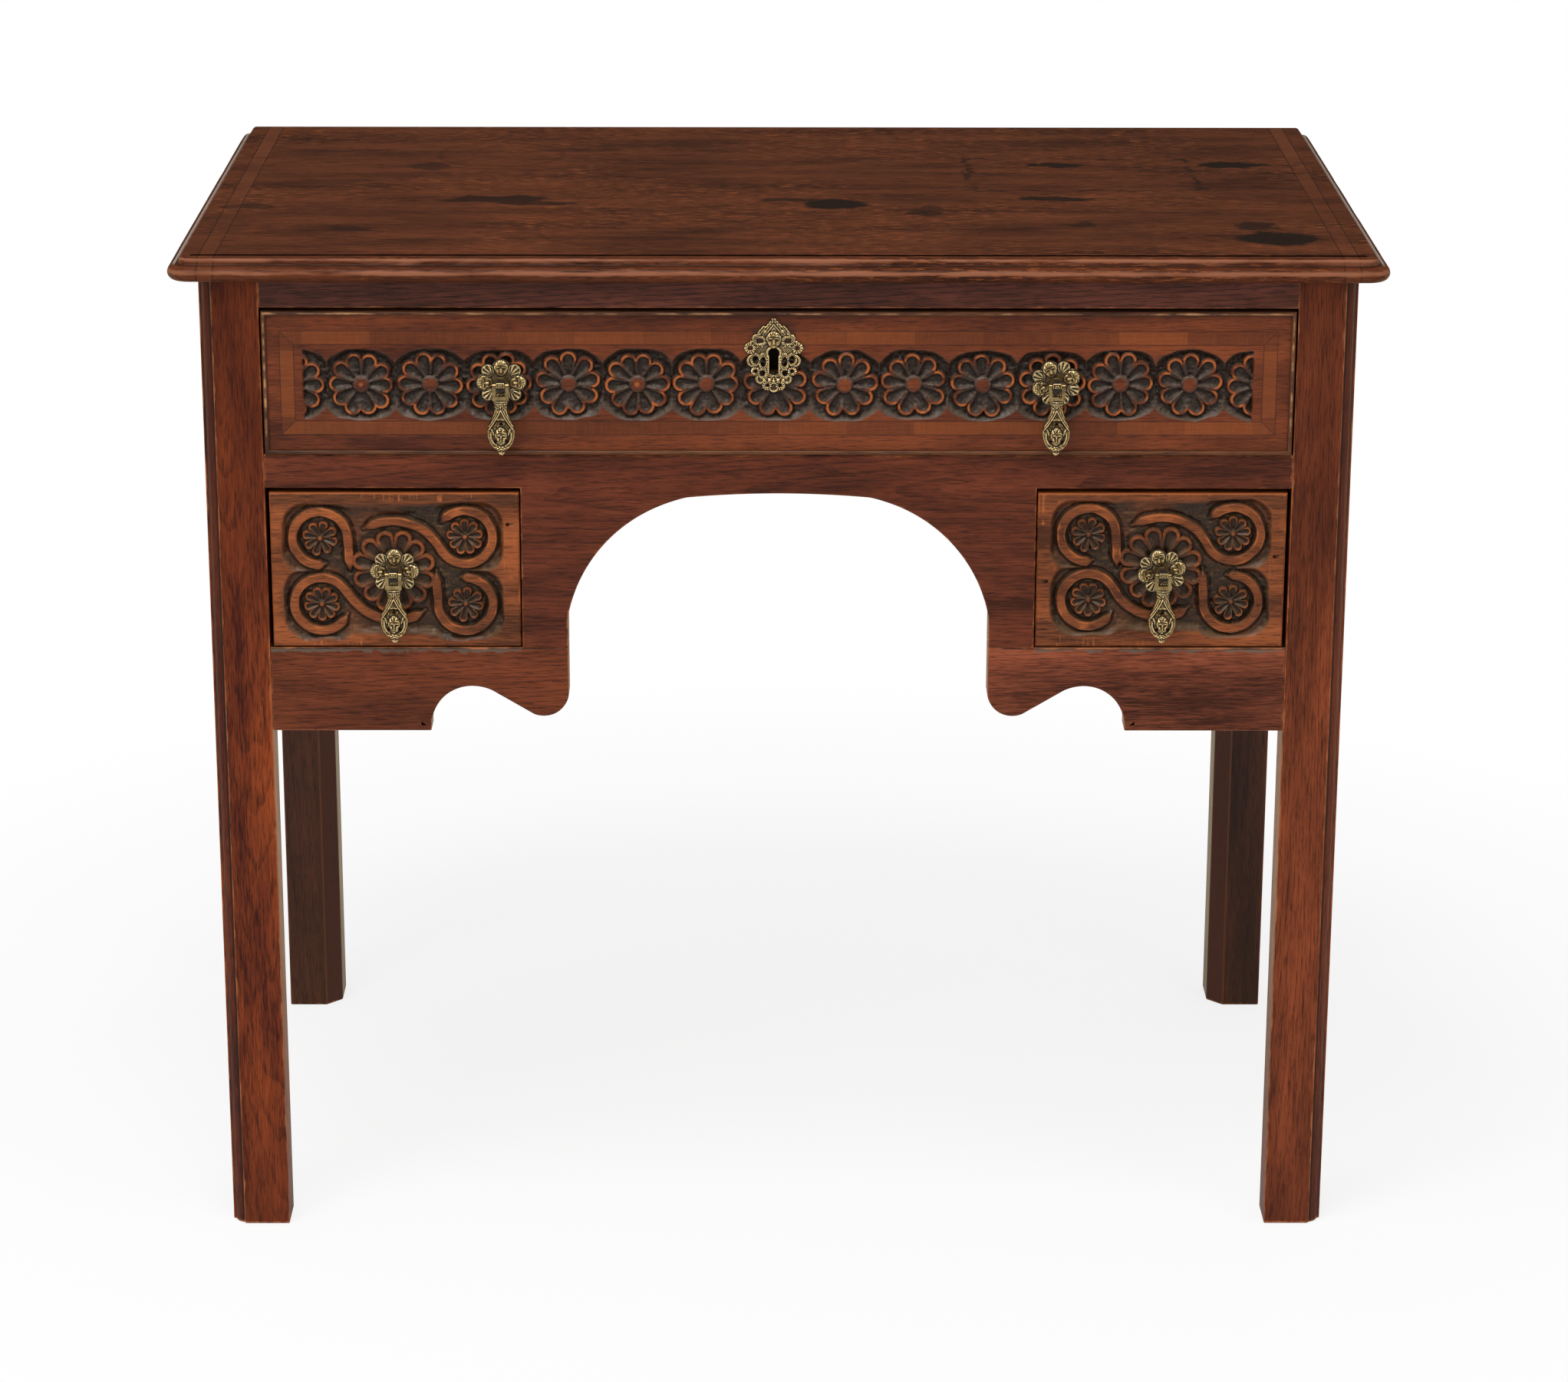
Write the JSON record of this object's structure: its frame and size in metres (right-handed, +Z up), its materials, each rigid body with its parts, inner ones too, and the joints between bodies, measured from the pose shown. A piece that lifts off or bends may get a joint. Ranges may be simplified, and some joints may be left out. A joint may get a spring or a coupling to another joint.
{
  "type": "lowboy",
  "caption": "Low oak side table on square legs with an overhanging moulded top, a long carved drawer above two small carved drawers and an arched kneehole with shaped aprons.",
  "frame": {"origin": "on the floor, in the middle of the box round the whole lowboy", "axes": "+X to the right of somebody facing the drawers, +Y to the back, +Z up"},
  "size_m": [0.8396, 0.4914, 0.725],
  "materials": {
    "top_oak": "dark waxed oak, stained and ringed by use",
    "leg_oak": "waxed oak",
    "front_oak": "waxed oak",
    "side_oak": "waxed oak",
    "carved_oak": "carved oak, dark in the ground and worn on the raised edges",
    "lining_oak": "dry unfinished oak",
    "brass": "old cast brass, dark in the hollows",
    "iron": "old blackened iron"
  },
  "bodies": {
    "carcase": {"top_board": "top_oak", "front_left_leg": "leg_oak", "front_right_leg": "leg_oak", "rear_left_leg": "leg_oak", "rear_right_leg": "leg_oak", "top_rail": "front_oak", "front_fascia": "front_oak", "left_apron": "front_oak", "right_apron": "front_oak", "left_side_board": "side_oak", "right_side_board": "side_oak", "back_board": "lining_oak", "left_partition": "lining_oak", "right_partition": "lining_oak", "left_main_runner": "lining_oak", "right_main_runner": "lining_oak", "left_kicker": "lining_oak", "right_kicker": "lining_oak", "left_outer_runner": "lining_oak", "left_inner_runner": "lining_oak", "right_inner_runner": "lining_oak", "right_outer_runner": "lining_oak", "drawer_stops": "lining_oak", "glue_blocks": "lining_oak"},
    "main_drawer": {"main_drawer_front": "carved_oak", "main_drawer_cockbead": "carved_oak", "main_drawer_left_side": "lining_oak", "main_drawer_right_side": "lining_oak", "main_drawer_back": "lining_oak", "main_drawer_bottom": "lining_oak", "lock_case": "iron", "lock_screws": "iron", "escutcheon": "brass", "escutcheon_pins": "brass", "main_left_rosette": "brass", "main_right_rosette": "brass", "main_left_post": "brass", "main_right_post": "brass", "main_pull_nuts": "iron"},
    "left_drawer": {"left_drawer_front": "carved_oak", "left_drawer_left_side": "lining_oak", "left_drawer_right_side": "lining_oak", "left_drawer_back": "lining_oak", "left_drawer_bottom": "lining_oak", "left_rosette": "brass", "left_post": "brass", "left_nut": "iron"},
    "right_drawer": {"right_drawer_front": "carved_oak", "right_drawer_left_side": "lining_oak", "right_drawer_right_side": "lining_oak", "right_drawer_back": "lining_oak", "right_drawer_bottom": "lining_oak", "right_rosette": "brass", "right_post": "brass", "right_nut": "iron"},
    "bolt": {"lock_bolt": "iron"},
    "main_left_pull": {"main_left_drop": "brass"},
    "main_right_pull": {"main_right_drop": "brass"},
    "left_pull": {"left_drop": "brass"},
    "right_pull": {"right_drop": "brass"}
  },
  "joints": [
    {"name": "main_drawer_slide", "type": "slide", "parent": "carcase", "child": "main_drawer", "axis": [0, -1, 0], "range_m": [0, 0.32]},
    {"name": "left_drawer_slide", "type": "slide", "parent": "carcase", "child": "left_drawer", "axis": [0, -1, 0], "range_m": [0, 0.3]},
    {"name": "right_drawer_slide", "type": "slide", "parent": "carcase", "child": "right_drawer", "axis": [0, -1, 0], "range_m": [0, 0.3]},
    {"name": "bolt_throw", "type": "slide", "parent": "main_drawer", "child": "bolt", "axis": [0, 0, 1], "range_m": [0, 0.0078]},
    {"name": "main_left_pull_swing", "type": "hinge", "parent": "main_drawer", "child": "main_left_pull", "pos_m": [-0.1918, -0.24075, 0.6362], "axis": [-1, 0, 0], "range_deg": [-8, 150]},
    {"name": "main_right_pull_swing", "type": "hinge", "parent": "main_drawer", "child": "main_right_pull", "pos_m": [0.1918, -0.24075, 0.6362], "axis": [-1, 0, 0], "range_deg": [-8, 150]},
    {"name": "left_pull_swing", "type": "hinge", "parent": "left_drawer", "child": "left_pull", "pos_m": [-0.269, -0.23925, 0.4997], "axis": [-1, 0, 0], "range_deg": [-8, 150]},
    {"name": "right_pull_swing", "type": "hinge", "parent": "right_drawer", "child": "right_pull", "pos_m": [0.269, -0.23925, 0.4997], "axis": [-1, 0, 0], "range_deg": [-8, 150]}
  ]
}
